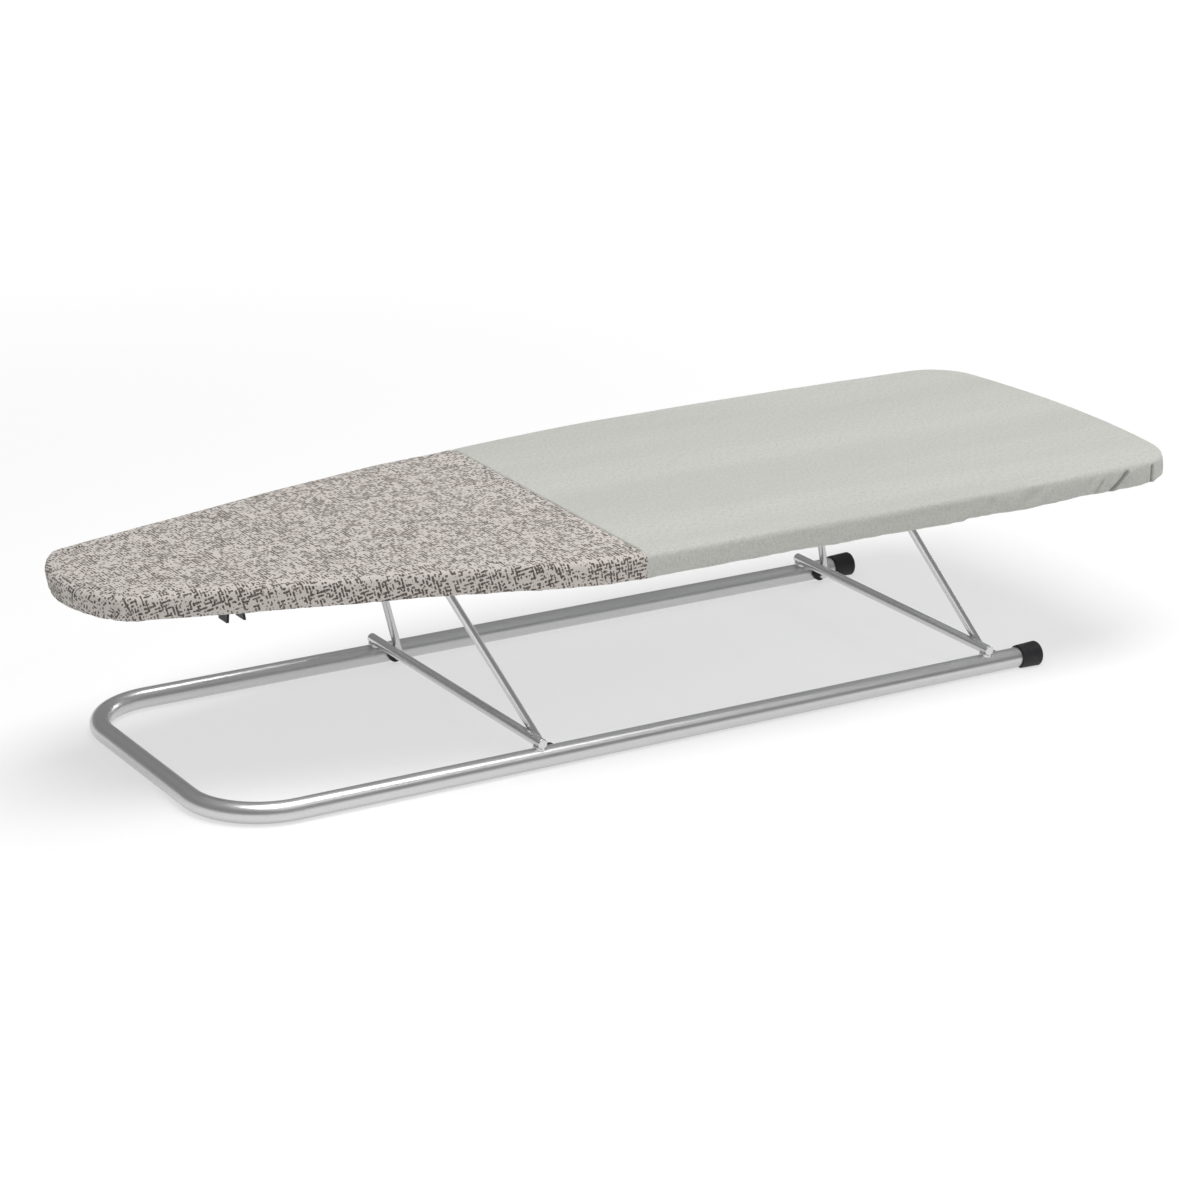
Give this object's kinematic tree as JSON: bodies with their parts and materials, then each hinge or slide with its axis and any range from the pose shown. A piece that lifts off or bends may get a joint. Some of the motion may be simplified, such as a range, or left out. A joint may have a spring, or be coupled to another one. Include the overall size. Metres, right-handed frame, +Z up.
{
  "type": "tabletop ironing board",
  "caption": "Tabletop ironing board with a pointed nose, padded two-fabric cover and a folding wire-leg stand on a U-shaped tube base.",
  "frame": {"origin": "centre of the object's footprint at table level", "axes": "+X from the nose to the square tail along the board, +Y across the board, +Z up from the table"},
  "size_m": [0.7939, 0.2892, 0.142],
  "materials": {
    "tube_steel": "satin",
    "rod_steel": "bright satin",
    "wire_steel": "bright satin",
    "saddle_steel": "zinc plated",
    "sheet_paint": "satin silver grey",
    "rivet_aluminium": "satin",
    "black_rubber": "matt",
    "black_plastic": "matt",
    "felt": "felted",
    "printed_cotton": "woven, printed with broken dark brown threads",
    "plain_cotton": "woven, coated",
    "elastic": "braided"
  },
  "bodies": {
    "base_frame": {"base_tube": "tube_steel", "weld_beads": "rod_steel", "front_cross_rod": "rod_steel", "rear_cross_rod": "rod_steel", "end_cap_near": "black_rubber", "end_cap_far": "black_rubber", "front_pivot_bush_near": "black_plastic", "front_pivot_bush_far": "black_plastic", "rear_pivot_bush_near": "black_plastic", "rear_pivot_bush_far": "black_plastic"},
    "front_legs": {"front_leg_wire": "wire_steel"},
    "rear_legs": {"rear_leg_wire": "wire_steel"},
    "board": {"steam_sheet": "sheet_paint", "board_rim": "sheet_paint", "front_hinge_rail": "sheet_paint", "rear_hinge_rail": "sheet_paint", "front_hinge_saddle_near": "saddle_steel", "front_hinge_saddle_far": "saddle_steel", "rear_hinge_saddle_near": "saddle_steel", "rear_hinge_saddle_far": "saddle_steel", "saddle_rivets": "rivet_aluminium", "storage_clip_near": "black_plastic", "storage_clip_far": "black_plastic", "clip_rivets": "rivet_aluminium", "felt_pad": "felt", "cover_nose_panel": "printed_cotton", "cover_tail_panel": "plain_cotton", "hem_elastic": "elastic"}
  },
  "joints": [
    {"name": "front_leg_fold", "type": "hinge", "parent": "base_frame", "child": "front_legs", "pos_m": [-0.1042, 0, 0.007], "axis": [0, 1, 0], "range_deg": [0, 107.5]},
    {"name": "rear_leg_fold", "type": "hinge", "parent": "base_frame", "child": "rear_legs", "pos_m": [0.2518, 0, 0.007], "axis": [0, 1, 0], "range_deg": [0, 107.5]},
    {"name": "board_level", "type": "hinge", "parent": "front_legs", "child": "board", "pos_m": [-0.15671, 0, 0.1242], "axis": [0, 1, 0], "range_deg": [-107.5, 0]}
  ],
  "couplings": [
    {"joint": "rear_leg_fold", "follows": "front_leg_fold", "ratio": 1},
    {"joint": "board_level", "follows": "front_leg_fold", "ratio": -1}
  ]
}
